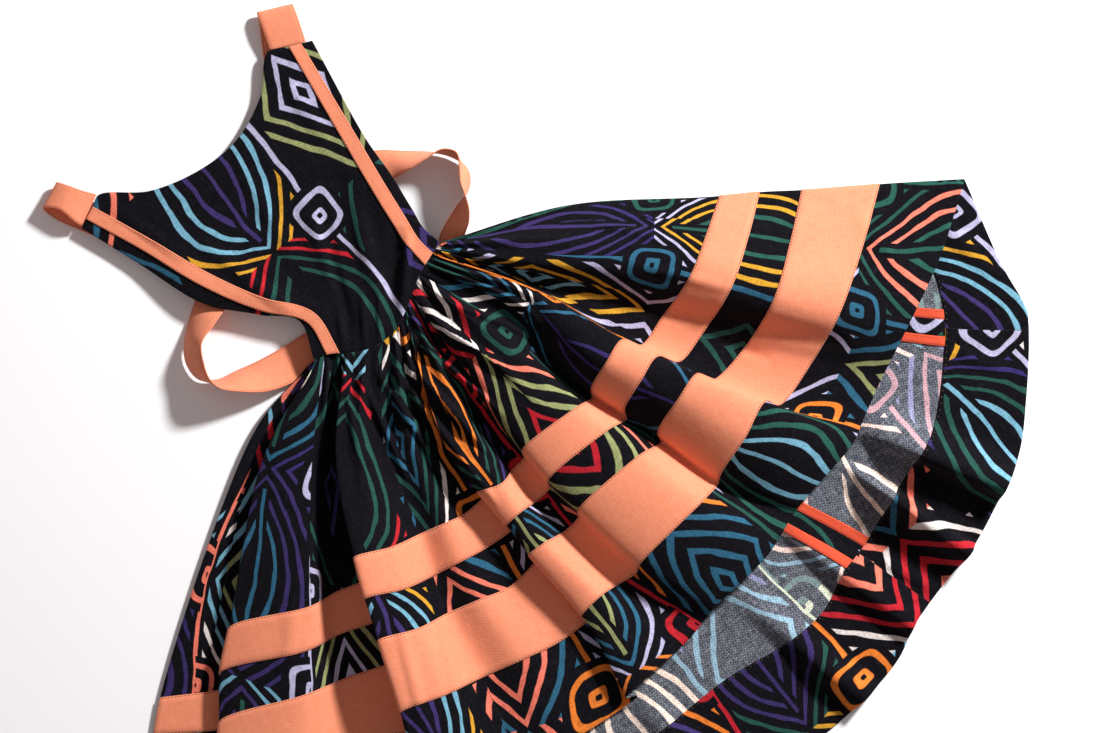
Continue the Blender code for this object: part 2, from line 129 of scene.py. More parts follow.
# Soft creases in the cloth: start and end (across, down), half width, height, mm.
FRONT_CREASES = [
    # Yoke, pulls and dents.
    ((500, 262), (640, 330), 9, 2.2), ((455, 330), (560, 420), 7, 2.5), ((345, 400), (372, 520), 8, 2.5),
    ((590, 222), (690, 246), 8, 3.0), ((600, 296), (850, 343), 16, -6.0), ((620, 262), (740, 292), 8, 2.0),
    ((700, 330), (770, 360), 9, -2.0),
    # Hem, slopes and panels.
    ((850, 210), (930, 300), 12, 2.5), ((250, 520), (225, 640), 8, 2.2), ((300, 560), (285, 700), 9, 2.5),
    ((395, 600), (430, 740), 9, 3.0), ((418, 560), (455, 720), 8, -2.5), ((560, 600), (620, 690), 9, 2.5),
    # Rolls by the waist.
    ((398, 350), (524, 490), 7, 10.0), ((384, 356), (498, 504), 6, 9.0), ((372, 362), (466, 508), 6, 7.5),
    ((408, 330), (504, 416), 5.5, 8.5), ((416, 308), (530, 386), 6, 7.5), ((424, 290), (540, 340), 6, 7.0),
    ((356, 364), (410, 486), 5, 5.5), ((342, 368), (366, 480), 5, 4.5),
]
BACK_CREASES = [
    # Corner, facing and the roll's start and foot.
    ((930, 210), (1000, 280), 14, 3.0), ((950, 350), (1012, 372), 10, 2.5), ((846, 464), (936, 524), 9, 8.0),
    ((850, 484), (930, 540), 8, -2.5),
    # Buckles of the hem.
    ((935, 470), (1000, 505), 9, 4.0), ((880, 560), (935, 590), 9, 3.0), ((800, 650), (850, 705), 11, 3.5),
]
BIB_CREASES = [
    # Ridges and troughs.
    ((352, 185), (378, 300), 15, 6.0), ((398, 226), (388, 332), 12, -6.0), ((410, 232), (402, 318), 7, 3.0),
    ((300, 190), (345, 300), 15, 3.5), ((322, 215), (352, 340), 10, -5.0),
    # Pulls.
    ((190, 235), (300, 316), 13, 4.0), ((236, 160), (300, 268), 14, 2.5), ((280, 70), (330, 150), 12, 2.0),
    ((110, 205), (190, 262), 11, 2.5), ((338, 286), (344, 352), 6, 3.2), ((362, 284), (366, 352), 6, 3.4),
    ((380, 280), (380, 344), 5, 2.8),
]

# The waist seam from the right corner to the left one: across, down.
WAIST = [
    (440, 243), (430, 258), (420, 275), (410, 300), (400, 325), (385, 340),
    (365, 350), (345, 353), (330, 354), (318, 359), (307, 366),
]

# The skirt front, a row per fold line from the right side seam to the left one.
# Columns: line, grid steps to the next line, place along the waist and height there, then the line's
# place (across, down, height) at mid yoke, narrow band top and bottom, wide band top and bottom, hem.
FRONT_STATIONS = [0.0, 140.0, 280.0, 318.0, 360.0, 432.0, 518.0]
FRONT_ROWS = [4, 4, 1, 2, 2, 3]
FRONT_LINES = [
    ("side seam", 3, 0, 21,
     (571, 205, 10), (720, 196, 4), (760, 192, 3.6), (802, 190, 3.6), (880, 184, 4), (965, 179, 4)),
    ("slope A", 4, 2, 21,
     (559, 232, 27), (707, 232, 26), (748, 236, 26), (790, 240, 26), (862, 246, 22), (940, 256, 13)),
    ("crest A", 5, 5, 21,
     (545, 262, 36), (690, 275, 40), (731, 286, 42), (773, 297, 44), (838, 313, 36), (905, 330, 22)),
    ("valley A", 3, 9, 21,
     (551, 283, 12), (660, 320, 9), (702, 334, 9), (745, 347, 8), (812, 362, 8), (880, 382, 7)),
    ("foot B", 3, 13, 21,
     (546, 291, 13), (642, 345, 13), (680, 362, 13), (714, 380, 13), (781, 405, 12), (862, 422, 9)),
    ("edge B", 3, 17, 21,
     (539, 293, 25), (620, 341, 44), (655, 358, 46), (694, 375, 47), (762, 403, 43), (852, 443, 22)),
    ("crest B", 4, 21, 21,
     (529, 299, 28), (606, 362, 50), (641, 379, 50), (678, 397, 50), (744, 436, 46), (832, 467, 26)),
    ("brow B", 3, 26, 21,
     (519, 308, 22), (592, 386, 28), (625, 407, 27), (658, 430, 25), (721, 472, 23), (801, 503, 17)),
    ("valley B", 4, 32, 21,
     (512, 318, 12), (592, 398, 9), (627, 419, 9), (661, 442, 9), (718, 484, 9), (791, 517, 8)),
    ("crest C", 5, 42, 21,
     (497, 340, 27), (575, 408, 38), (606, 431, 39), (637, 456, 40), (699, 503, 38), (768, 553, 23)),
    ("edge C", 3, 58, 21,
     (476, 380, 24), (524, 447, 32), (550, 477, 33), (580, 506, 33), (641, 561, 30), (715, 606, 18)),
    ("foot C", 2, 63, 21,
     (471, 391, 11), (524, 458, 11), (550, 488, 11), (578, 518, 10), (636, 573, 9), (706, 618, 8)),
    ("valley C", 3, 68, 21,
     (464, 398, 9), (512, 470, 7), (538, 500, 7), (565, 531, 7), (616, 586, 7), (688, 640, 6)),
    ("crest D", 3, 75, 21,
     (455, 408, 23), (500, 484, 30), (519, 513, 31), (543, 543, 31), (598, 597, 28), (647, 676, 18)),
    ("edge D", 2, 81, 21,
     (437, 424, 19), (478, 491, 24), (507, 525, 25), (529, 554, 25), (582, 615, 22), (626, 697, 15)),
    ("under D", 2, 86, 21,
     (446, 421, 11), (489, 490, 10), (519, 524, 10), (541, 553, 10), (594, 614, 9.5), (637, 696, 8)),
    ("valley D", 4, 91, 21,
     (425, 427, 8), (466, 513, 6), (488, 547, 6), (511, 586, 6), (561, 641, 6), (602, 722, 5.5)),
    ("crest E", 4, 102, 21,
     (408, 432, 15), (445, 523, 15), (460, 562, 15), (480, 599, 15), (521, 660, 14), (560, 746, 10)),
    ("valley E", 4, 118, 21,
     (385, 442, 10), (420, 534, 9), (433, 576, 9), (448, 613, 9), (483, 677, 9), (520, 765, 7)),
    ("crest F", 4, 138, 21,
     (361, 449, 26), (392, 546, 37), (404, 588, 39), (418, 627, 39), (446, 693, 35), (478, 785, 23)),
    ("edge F", 2, 156, 22,
     (337, 453, 32), (356, 556, 48), (367, 597, 50), (380, 638, 50), (402, 710, 45), (422, 806, 30)),
    ("under F", 4, 162, 17.5,
     (347, 459, 12), (380, 572, 13),
     (391, 614, 13), (405, 655, 13), (427, 726, 12), (444, 819, 9)),
    ("valley G", 4, 169, 15,
     (330, 462, 5.5), (334, 593, 4.5),
     (338, 635, 4.5), (344, 679, 4.5), (352, 743, 4.5), (360, 836, 4.5)),
    ("edge G", 4, 180, 20,
     (312, 467, 19), (309, 606, 26), (306, 650, 27), (304, 694, 27), (299, 768, 25), (293, 860, 17)),
    ("edge H", 2, 186, 22,
     (262, 464, 20), (230, 628, 20),
     (221, 673, 20), (220, 722, 20), (213, 795, 19), (205, 885, 16)),
    ("fold H", 2, 189, 19,
     (272, 472, 12.5), (256, 650, 13),
     (247, 695, 13), (246, 744, 13), (239, 817, 12.5), (231, 901, 11)),
    ("under H", 2, 192, 16.2,
     (282, 482, 8), (281, 669, 8.7),
     (272, 715, 8.7), (271, 764, 8.7), (264, 837, 8.5), (256, 915, 7.5)),
    ("return H", 1, 195, 13.5,
     (270, 481, 5), (256, 680, 4.2),
     (247, 725, 4.2), (244, 771, 4.2), (236, 842, 4.2), (227, 921, 4.2)),
    ("valley H", 3, 197.5, 11.5,
     (256, 470, 5.5), (221, 690, 4.3),
     (211, 731, 4.2), (206, 775, 4.2), (197, 846, 4.2), (188, 925, 4.2)),
    ("left seam", 0, 200, 9.5,
     (243, 455, 7), (160, 698, 4), (153, 735, 3.6), (146, 779, 3.6), (132, 850, 4), (112, 928, 4)),
]

# The skirt back, a row per line from the right side seam to the left one. It lies under the front.
# Columns: line, grid steps to the next line, place along the waist, facing's inner edge (across, down),
# hem (across, down).
BACK_STATIONS = [0, 0.3, 0.6, 0.83, 1.0]
BACK_ROWS = [2, 3, 3, 4]
BACK_LINES = [
    ("side seam", 4, 0, (880, 184), (965, 179)),
    ("right a", 3, 8, (915, 232), (1002, 264)),
    ("right b", 2, 14, (937, 278), (1021, 297)),
    ("seam 1 bind out", 1, 19, (944.5, 309.5), (1028, 312)),
    ("seam 1 allowance", 1, 22, (945.5, 319.5), (1029, 322)),
    ("seam 1", 1, 25, (946, 328), (1029.5, 330.5)),
    ("seam 1 allowance left", 1, 28, (946, 336.5), (1029.5, 339)),
    ("seam 1 bind left", 3, 31, (945.5, 346.5), (1029.5, 349)),
    ("right c", 3, 38, (942, 388), (1027, 396)),
    ("ring", 3, 46, (934, 428), (1020, 452)),
    ("valley 1", 4, 53, (916, 462), (1002, 494)),
    ("ridge 2", 4, 60, (897, 492), (975, 545)),
    ("seam 2 bind out", 1, 67, (870, 538), (942, 587)),
    ("seam 2 allowance", 1, 70, (864, 547), (936, 595)),
    ("seam 2", 1, 73, (858.5, 554), (930, 603)),
    ("seam 2 allowance left", 1, 76, (853, 561), (924, 611)),
    ("seam 2 bind left", 4, 79, (846, 569), (917, 620)),
    ("ridge 3", 4, 88, (824, 612), (899, 659)),
    ("ridge 4", 4, 97, (785, 645), (864, 700)),
    ("valley 4", 4, 106, (728, 679), (812, 745)),
    ("ridge 5", 3, 118, (645, 742), (700, 832)),
    ("left c", 3, 134, (535, 790), (560, 893)),
    ("left b", 3, 156, (400, 815), (400, 918)),
    ("left a", 3, 180, (262, 824), (250, 930)),
    ("left seam", 0, 200, (132, 850), (112, 928)),
]
# The side lines' own places between waist and facing. The other lines run straight there.
BACK_SIDES = {"side seam": [(571, 205), (720, 196)], "left seam": [(243, 455), (162, 700)]}
# Soft ridges in the back: line, inner end (across, down), hem end (across, down), half width
# above and below the crest line, height, and the share of the line at which it is fully grown.
BACK_RIDGES = [
    ("ring roll", (845, 423), (1003, 489), 42, 14, 28, 0.45),
    ("narrow roll", (836, 460), (966, 549), 10, 27, 27, 0.45),
    ("broad swell", (745, 500), (905, 622), 32, 14, 14, 0.7),
    ("low roll", (700, 560), (862, 697), 26, 20, 19, 1.0),
    ("left roll", (600, 640), (715, 800), 28, 22, 16, 1.0),
]

# The bib, a row per line from its left side to its right side.
# Columns: line, grid steps to the next line, place along the waist, then the line's place
# (across, down, height) at the neck or shoulder end and at four levels below it.
BIB_STATIONS = [0.0, 0.28, 0.55, 0.8, 0.92, 1.0]
BIB_ROWS = [4, 4, 3, 2, 2]
BIB_LINES = [
    ("left side", 1, 190,
     (82, 228, 10), (140, 264, 10), (203, 303, 18), (262, 315, 19), (303, 324, 21)),
    ("left tape outer", 2, 176,
     (86.5, 219, 10), (143, 250, 12), (203, 286, 19), (264, 311, 21), (310, 324, 22)),
    ("left tape inner", 1, 163,
     (92.8, 207, 10), (149, 238, 12), (210, 274, 18), (268, 299, 22), (318, 316, 22.5)),
    ("left neck corner", 2, 155,
     (99, 195, 10), (160, 224, 11), (224, 259, 15), (283, 289, 19), (328, 315, 21.5)),
    ("neck a", 2, 140,
     (150, 191, 9.5), (200, 214, 10), (250, 248, 13), (306, 288, 18), (344, 318, 20.5)),
    ("neck b", 2, 124,
     (200, 170, 9.5), (245, 200, 10), (290, 236, 13), (336, 276, 18), (364, 311, 20.5)),
    ("neck c", 2, 104,
     (236, 141, 9.5), (280, 172, 10), (320, 210, 13), (359, 256, 18), (383, 292, 20.5)),
    ("neck d", 2, 78, (260, 98, 9.5), (306, 142, 10), (345, 185, 14), (379, 237, 19), (399, 268, 21)),
    ("right neck corner", 2, 44,
     (268, 52, 10), (324, 136, 11), (357, 186, 17), (386, 228, 20), (406, 255, 21.5)),
    ("right tape inner", 2, 27,
     (289, 46.8, 10), (339, 133, 12), (369, 184, 19), (393, 223, 21), (409, 247, 22)),
    ("right tape outer", 1, 13,
     (301, 43.8, 10), (351, 127, 13), (381, 178, 20), (405, 217, 21), (420, 241, 22)),
    ("right side", 0, 0, (312, 41, 10), (361, 131, 14), (391, 175, 19), (413, 211, 20), (425, 230, 21)),
]

# Each strap, a row per section of the ribbon: one edge (across, down, height), the other edge
# (across, down, height), and how far the middle bulges out of the line between them, mm.
STRAP_RIGHT = [
    (270.1, 49.6, 10, 305.3, 41.9, 10, 0),
    (263, 29, 12, 298.5, 20.5, 12, 0),
    (258, 15.5, 10.5, 293.5, 7, 10.5, 0),
    (257, 12.5, 7, 292, 4, 7, 0),
    (258, 15.5, 3.4, 293, 7, 3.4, 0),
    (262, 45, 2.6, 297, 44, 2.6, 0),
    (266, 95, 2.5, 300, 104, 2.5, 0),
    (256, 140, 2.5, 288, 154, 2.5, 0),
    (236, 190, 2.5, 269, 202, 2.5, 0),
    (216, 245, 2.5, 249, 257, 2.5, 0),
    (201, 285, 2.5, 232, 297, 8, 0),
    (190, 315, 2.5, 214, 326, 25, 1),
    (184, 342, 2.5, 203, 344, 31, 2),
    (186, 364, 2.5, 206, 366, 31, 2),
    (198, 379, 2.5, 212, 380, 34, 1),
    (216, 380, 2.5, 222, 388, 36, -1),
    (236, 371, 2.5, 239, 391, 31, -2),
    (258, 361, 2.5, 268, 391, 16, -1),
    (285, 346, 2.5, 299, 379, 5, 0),
    (306, 333, 2.6, 320, 365, 4, 0),
    (322, 325, 2.6, 336, 356, 4, 0),
]
STRAP_LEFT = [
    (95.8, 194.8, 10, 81.5, 225.6, 10, 0),
    (82, 191, 14, 74, 220.5, 16, 0),
    (68, 186, 15, 60, 209.5, 18, 0),
    (57, 182.5, 9.5, 44, 207.5, 12, 0),
    (58, 184.5, 4, 45, 211, 5.5, 0),
    (70, 190, 2.5, 58, 220, 2.6, 0),
    (86, 200, 2.5, 76, 228, 2.5, 0),
    (116, 208, 2.5, 108, 240, 2.5, 0),
    (162, 212, 3.0, 162, 247, 3.0, 0),
    (215, 200, 5.4, 223, 234, 5.4, 0),
    (270, 181, 5.6, 280, 215, 5.6, 0),
    (330, 162, 5, 341, 195, 6, 0),
    (364, 153, 4.2, 377, 185, 8, 0),
    (381, 150, 3.5, 394, 178, 13, 0),
    (405, 151, 2.8, 412, 169, 30, 1),
    (425, 151.5, 2.6, 428, 159, 36, 1),
    (441, 153.5, 2.6, 442, 150.5, 37, 0),
    (452, 157, 2.6, 455, 152, 37, 0),
    (461, 162, 2.6, 459, 158, 37, 0),
    (468, 170, 2.6, 460, 168, 36, 2),
    (470, 182, 2.6, 461, 182, 36, 2),
    (466, 194, 2.6, 465, 194, 37, 1),
    (458, 204, 2.6, 469, 208, 36, -3),
    (449, 218, 2.6, 469, 222, 28, -3),
    (441, 233, 2.6, 464, 238, 12, -1),
    (437, 246, 2.6, 463, 256, 7, 0),
    (430, 262, 2.6, 460, 275, 5, 0),
]

def place(grid):
    # Points of the layout (across, down, height) in the row frame, in metres.
    turn = math.radians(LAY_ANGLE)
    right = grid[..., 0] - ORIGIN_ACROSS
    up = ORIGIN_DOWN - grid[..., 1]
    x = right * math.sin(turn) + up * math.cos(turn)
    y = -right * math.cos(turn) + up * math.sin(turn)
    return np.stack([x, y, grid[..., 2]], axis=-1) / 1000


def spline(points, knots, wanted):
    # A smooth curve through the points, read at the wanted knot values.
    points = np.asarray(points, float)
    knots = np.asarray(knots, float)
    slopes = np.zeros_like(points)
    steps = np.diff(knots)[:, None]
    rates = np.diff(points, axis=0) / steps
    slopes[1:-1] = (rates[:-1] * steps[1:] + rates[1:] * steps[:-1]) / (steps[1:] + steps[:-1])
    slopes[0] = rates[0]
    slopes[-1] = rates[-1]
    at = np.clip(np.searchsorted(knots, wanted, side="right") - 1, 0, len(knots) - 2)
    width = (knots[at + 1] - knots[at])[:, None]
    t = ((wanted - knots[at]) / width[:, 0])[:, None]
    h00 = 2 * t**3 - 3 * t**2 + 1
    h10 = t**3 - 2 * t**2 + t
    h01 = -2 * t**3 + 3 * t**2
    h11 = t**3 - t**2
    return h00 * points[at] + h10 * width * slopes[at] + h01 * points[at + 1] + h11 * width * slopes[at + 1]


def arc(points, axis=0):
    # How far along its line each point lies. The lines run along this axis of the points.
    steps = np.linalg.norm(np.diff(points, axis=axis), axis=-1)
    return np.insert(np.cumsum(steps, axis=axis), 0, 0, axis=axis)


def chord_knots(points):
    lengths = np.linalg.norm(np.diff(points, axis=0), axis=1)
    return np.concatenate([[0], np.cumsum(np.sqrt(lengths + 1e-6))])


def shares(knots, steps):
    # Grid positions: the given number of equal steps between each knot and the next.
    found = [knots[0]]
    for start, end, count in zip(knots[:-1], knots[1:], steps):
        found.extend(start + (end - start) * (k + 1) / count for k in range(count))
    return np.array(found)


def waist_point(along, height, shift):
    # The waist seam's point at this share of WAIST_PARTS from its right corner.
    line = np.array(WAIST, float)
    lengths = arc(line)
    across, down = spline(line, lengths, np.array([along * lengths[-1] / WAIST_PARTS]))[0]
    turn = math.radians(LAY_ANGLE)
    return (across - shift * math.cos(turn), down - shift * math.sin(turn), height)


def surface(lines, knots, row_steps, column_steps):
    # A grid of points: rows down the lines' stations, columns from line to line.
    rows = shares(np.asarray(knots, float), row_steps)
    down_lines = np.stack([spline(line, knots, rows) for line in lines], axis=1)
    grid = []
    for row in down_lines:
        across_knots = chord_knots(row)
        grid.append(spline(row, across_knots, shares(across_knots, column_steps)))
    return np.array(grid)


def beside(grid, start, end):
    # How the grid lies by a line of the layout: the share along it, and the mm to its side.
    along_x = end[0] - start[0]
    along_y = end[1] - start[1]
    length = math.hypot(along_x, along_y)
    x = grid[..., 0] - start[0]
    y = grid[..., 1] - start[1]
    return (x * along_x + y * along_y) / length**2, (x * along_y - y * along_x) / length


def mound(aside, half_width):
    return np.cos(np.clip(np.abs(aside) / half_width, 0, 1) * math.pi / 2) ** 2


def back_height(grid):
    # How high the back stands above the table at the grid's places.
    height = np.zeros_like(grid[..., 0])
    for _, inner, outer, above, below, top, grown_at in BACK_RIDGES:
        along, aside = beside(grid, inner, outer)
        grown = np.clip(along / grown_at, 0, 1)
        grown = grown * grown * (3 - 2 * grown)
        height = height + top * grown * mound(aside, np.where(aside > 0, above, below))
    return height


def crease(grid, creases):
    # Soft creases that fade out at both ends: positive ones stand up, negative ones sink.
    height = np.zeros_like(grid[..., 0])
    for start, end, half_width, top in creases:
        along, aside = beside(grid, start, end)
        inside = (along > 0) & (along < 1)
        fade = np.where(inside, np.sin(np.clip(along, 0, 1) * math.pi) ** 0.8, 0)
        height = height + top * fade * mound(aside, half_width)
    return height


def unit(vectors):
    return vectors / np.maximum(np.linalg.norm(vectors, axis=-1, keepdims=True), 1e-12)


def normals(grid):
    # At each point, the middle way between the normals of the four corners that meet there.
    along = np.diff(grid, axis=1)
    down = np.diff(grid, axis=0)
    along_in = np.concatenate([along[:, :1], along], axis=1)
    along_out = np.concatenate([along, along[:, -1:]], axis=1)
    down_in = np.concatenate([down[:1], down], axis=0)
    down_out = np.concatenate([down, down[-1:]], axis=0)
    total = np.zeros_like(grid)
    for across_step in (along_in, along_out):
        for down_step in (down_in, down_out):
            total += unit(np.cross(across_step, down_step))
    return unit(total)


def finer(steps, times):
    return [count * times for count in steps]


def linear(colour):
    # An sRGB colour of 0 to 255 as Blender's linear values, with full alpha.
    values = [value / 255 for value in colour]
    return (*(v / 12.92 if v <= 0.04045 else ((v + 0.055) / 1.055) ** 2.4 for v in values), 1)


# Materials.


class Value:
    # A number from a node. Python's operators on it add the maths nodes, and | is the larger one.

    def __init__(self, cloth, socket):
        self.cloth = cloth
        self.socket = socket

    def maths(self, operation, *others):
        return self.cloth.maths(operation, self, *others)

    def floor(self):
        return self.maths("FLOOR")

    def __abs__(self):
        return self.maths("ABSOLUTE")

    def __add__(self, other):
        return self.maths("ADD", other)

    def __sub__(self, other):
        return self.maths("SUBTRACT", other)

    def __rsub__(self, other):
        return self.cloth.maths("SUBTRACT", other, self)

    def __mul__(self, other):
        return self.maths("MULTIPLY", other)

    def __truediv__(self, other):
        return self.maths("DIVIDE", other)

    def __pow__(self, other):
        return self.maths("POWER", other)

    def __or__(self, other):
        return self.maths("MAXIMUM", other)

    def __lt__(self, other):
        return self.maths("LESS_THAN", other)

    def __gt__(self, other):
        return self.maths("GREATER_THAN", other)


class Cloth:
    # One material with a node tree, and short ways to add the nodes it needs.

    def __init__(self, name, roughness, sheen, specular=0.12):
        self.material = bpy.data.materials.new(name)
        self.material.use_nodes = True
        self.tree = self.material.node_tree
        self.shader = self.tree.nodes["Principled BSDF"]
        self.shader.inputs["Metallic"].default_value = 0
        self.shader.inputs["Sheen Weight"].default_value = sheen
        self.shader.inputs["Sheen Roughness"].default_value = 0.6
        self.shader.inputs["Specular IOR Level"].default_value = specular
        self.shader.inputs["Roughness"].default_value = roughness

    def put(self, socket, value):
        if isinstance(value, Value):
            value = value.socket
        if isinstance(value, bpy.types.NodeSocket):
            self.tree.links.new(value, socket)
        else:
            socket.default_value = value

    def node(self, kind, values=(), **settings):
        made = self.tree.nodes.new(kind)
        for key, value in settings.items():
            setattr(made, key, value)
        for name, value in dict(values).items():
            self.put(made.inputs[name], value)
        return made

    def maths(self, operation, *values):
        made = self.node("ShaderNodeMath", operation=operation)
        for socket, value in zip(made.inputs, values):
            self.put(socket, value)
        return Value(self, made.outputs[0])

    def vector(self, operation, values):
        return self.node("ShaderNodeVectorMath", values, operation=operation).outputs[0]

    def parts(self, vector):
        outputs = self.node("ShaderNodeSeparateXYZ", {0: vector}).outputs
        return Value(self, outputs[0]), Value(self, outputs[1])

    def noise(self, vector, scale, detail=2.0, output="Fac"):
        values = {"Vector": vector, "Scale": scale, "Detail": detail, "Roughness": 0.55}
        return Value(self, self.node("ShaderNodeTexNoise", values).outputs[output])

    def mix(self, share, first, second, blend="MIX"):
        values = {0: share, 6: first, 7: second}
        return self.node("ShaderNodeMix", values, data_type="RGBA", blend_type=blend).outputs[2]

    def spread(self, value, low, high, to_low=0, to_high=1, kind="LINEAR"):
        # What goes from low to high now goes from to_low to to_high.
        values = {"Value": value, "From Min": low, "From Max": high, "To Min": to_low, "To Max": to_high}
        return Value(self, self.node("ShaderNodeMapRange", values, interpolation_type=kind).outputs[0])

    def step(self, value, low, high):
        return self.spread(value, low, high, kind="SMOOTHSTEP")

    def bump(self, height, distance, strength, under=None):
        values = {"Height": height, "Distance": distance, "Strength": strength}
        if under is not None:
            values["Normal"] = under
        return self.node("ShaderNodeBump", values).outputs[0]

    def coordinates(self):
        # The cloth's own flat coordinates, in millimetres.
        flat = self.node("ShaderNodeUVMap", uv_map="cloth").outputs[0]
        return self.vector("SCALE", {0: flat, "Scale": 1000})

    def finish(self, colour, wrinkles, relief, roughness):
        # wrinkles is a noise and its depth in metres, relief a height, its depth and its strength.
        normal = self.bump(*relief, self.bump(*wrinkles, 0.5))
        for name, value in (("Base Color", colour), ("Normal", normal), ("Roughness", roughness)):
            self.put(self.shader.inputs[name], value)
        return self.material


def print_lines(cloth, flat):
    # The generic print: columns of nested leaves and of nested diamonds in a half drop, with a stripe
    # between the columns and rounded squares at the corners. Returns the lines' mask and colour number.
    drawn = flat
    for pitch, reach in ((190, 62), (30, 5)):
        wander = cloth.noise(flat, 1 / pitch, 1.0, "Color")
        wander = cloth.vector("SUBTRACT", {0: wander, 1: (0.5, 0.5, 0.5)})
        drawn = cloth.vector("ADD", {0: drawn, 1: cloth.vector("SCALE", {0: wander, "Scale": reach})})
    x, y = cloth.parts(drawn)
    column_place = x / COLUMN_WIDTH
    column = column_place.floor()
    aside = abs(column_place - column - 0.5) * COLUMN_WIDTH
    odd = column.maths("PINGPONG", 1)
    even = 1 - odd
    row_place = y / ROW_HEIGHT + (column * 0.5).floor() * 0.5
    row = row_place.floor()
    off = abs(row_place - row - 0.5) * ROW_HEIGHT
    # Leaf and diamond: a height that grows from the motif's middle in steps of a line's pitch.
    leaf = aside + off * off * (2 * COLUMN_WIDTH / ROW_HEIGHT**2)
    diamond = (aside + off * 0.7) * 0.82
    field = leaf * even + diamond * odd
    # Rounded squares at the cell corners.
    reach = ((COLUMN_WIDTH / 2 - aside) ** 4 + (ROW_HEIGHT / 2 - off) ** 4) ** 0.25
    in_ring = reach < RING_REACH
    outside = 1 - in_ring
    field = field * outside + (reach + 3) * in_ring
    turns = field / LINE_PITCH
    ring = turns.floor()
    hand = (cloth.noise(flat, 1 / 24, 1.0) - 0.5) * 0.16
    width = abs(turns - ring - 0.5) + hand
    line = 1 - cloth.step(width, LINE_HALF - 0.03, LINE_HALF + 0.03)
    # Outside the rings, lines stop short of the stripe between the columns and of a leaf's spine.
    edge = COLUMN_WIDTH / 2
    clear = 1 - cloth.step(aside, edge - 8.5, edge - 7.5)
    has_spine = (off < SPINE_REACH) * even
    in_leaf = (field < LINE_PITCH) * even * outside
    line = line * (clear | in_ring) * (1 - ((aside < 7.5) * has_spine | in_leaf))
    spine = (1 - cloth.step(aside, 1.8, 2.6)) * has_spine
    stripe = (cloth.step(aside, edge - 3, edge - 2) | spine) * outside
    # The colour number changes with the motif and with every second line.
    on_stripe = aside > edge - 5
    on_spine = (aside < 4) * has_spine
    is_edge = on_stripe | in_ring
    inner = 1 - is_edge
    column_key = column * inner + (column_place.maths("ROUND") + 0.37) * is_edge
    ring_key = (ring * 0.5).floor() * (1 - (on_stripe | on_spine))
    key = cloth.node("ShaderNodeCombineXYZ", {0: column_key, 1: row * inner, 2: ring_key}).outputs[0]
    number = cloth.node("ShaderNodeTexWhiteNoise", {"Vector": key}, noise_dimensions="3D").outputs["Value"]
    number = Value(cloth, number)
    # Some pairs of lines aren't drawn, so that the ground shows in wide shapes.
    return (line | stripe) * (number > UNDRAWN), number


def palette(cloth, number, colours):
    ramp = cloth.node("ShaderNodeValToRGB", {"Fac": number})
    ramp.color_ramp.interpolation = "CONSTANT"
    steps = ramp.color_ramp.elements
    while len(steps) < len(colours):
        steps.new(0.5)
    for position, colour in enumerate(colours):
        steps[position].position = position / len(colours)
        steps[position].color = linear(colour)
    return ramp.outputs[0]


def weave(cloth, flat):
    # Warp and weft threads of uneven thickness, about 0 to 1.
    warp = cloth.noise(cloth.vector("MULTIPLY", {0: flat, 1: (0.75, 0.09, 1)}), 1.0, 1.0)
    weft = cloth.noise(cloth.vector("MULTIPLY", {0: flat, 1: (0.09, 0.75, 1)}), 1.0, 1.0)
    return (warp + weft) * 0.5


def crossings(cloth, flat):
    # The small dots where warp and weft cross, -1 to 1.
    x, y = cloth.parts(flat)
    turn = 2 * math.pi / THREAD_PITCH
    return (x * turn).maths("SINE") * (y * turn).maths("SINE")


def printed_cloth(name, ground, bare, colours, strength, roughness, contrast, dot_share):
    # ground is the dyed cloth's two colours, bare the colour of its worn threads.
    cloth = Cloth(name, roughness, 0.02, 0.04)
    flat = cloth.coordinates()
    mask, number = print_lines(cloth, flat)
    threads = weave(cloth, flat) + crossings(cloth, flat) * dot_share
    ink = palette(cloth, number, colours)
    covered = mask * cloth.step(threads, 0.1, 0.34) * strength
    colour = cloth.mix(cloth.noise(flat, 1 / 60, 3.0), linear(ground[0]), linear(ground[1]))
    # Thread crowns where the dye has worn off.
    colour = cloth.mix(cloth.step(threads, 0.52, 0.74) * 0.55, colour, linear(bare))
    colour = cloth.mix(covered, colour, ink)
    shade = cloth.spread(threads, 0.3, 0.7, 1 - contrast, 1 + contrast)
    grey = cloth.node("ShaderNodeCombineColor", {0: shade, 1: shade, 2: shade}).outputs[0]
    colour = cloth.mix(1.0, colour, grey, "MULTIPLY")
    wrinkles = (cloth.noise(flat, 1 / 26, 3.0), 0.0022)
    rough = cloth.spread(threads, 0, 1, roughness - 0.1, roughness + 0.12)
    return cloth.finish(colour, wrinkles, (threads, 0.0004, 0.5), rough)


def plain_twill(name, light, deep, pitch, slope):
    # Plain dyed twill: fine diagonal ribs, uneven threads and soft wear.
    cloth = Cloth(name, 0.85, 0.08)
    flat = cloth.coordinates()
    x, y = cloth.parts(flat)
    rib = (x * slope + y + cloth.noise(flat, 1 / 40, 2.0) * 2.0) * (2 * math.pi / pitch)
    rib = rib.maths("SINE") * 0.5 + 0.5
    threads = weave(cloth, flat)
    share = rib * 0.14 + threads * 0.8 + cloth.noise(flat, 1 / 45, 3.0) * 0.2
    colour = cloth.mix(share, linear(deep), linear(light))
    wrinkles = (cloth.noise(flat, 1 / 22, 3.0), 0.0014)
    rough = cloth.spread(threads, 0, 1, 0.75, 0.98)
    return cloth.finish(colour, wrinkles, (rib * 0.35 + threads, 0.0003, 0.6), rough)


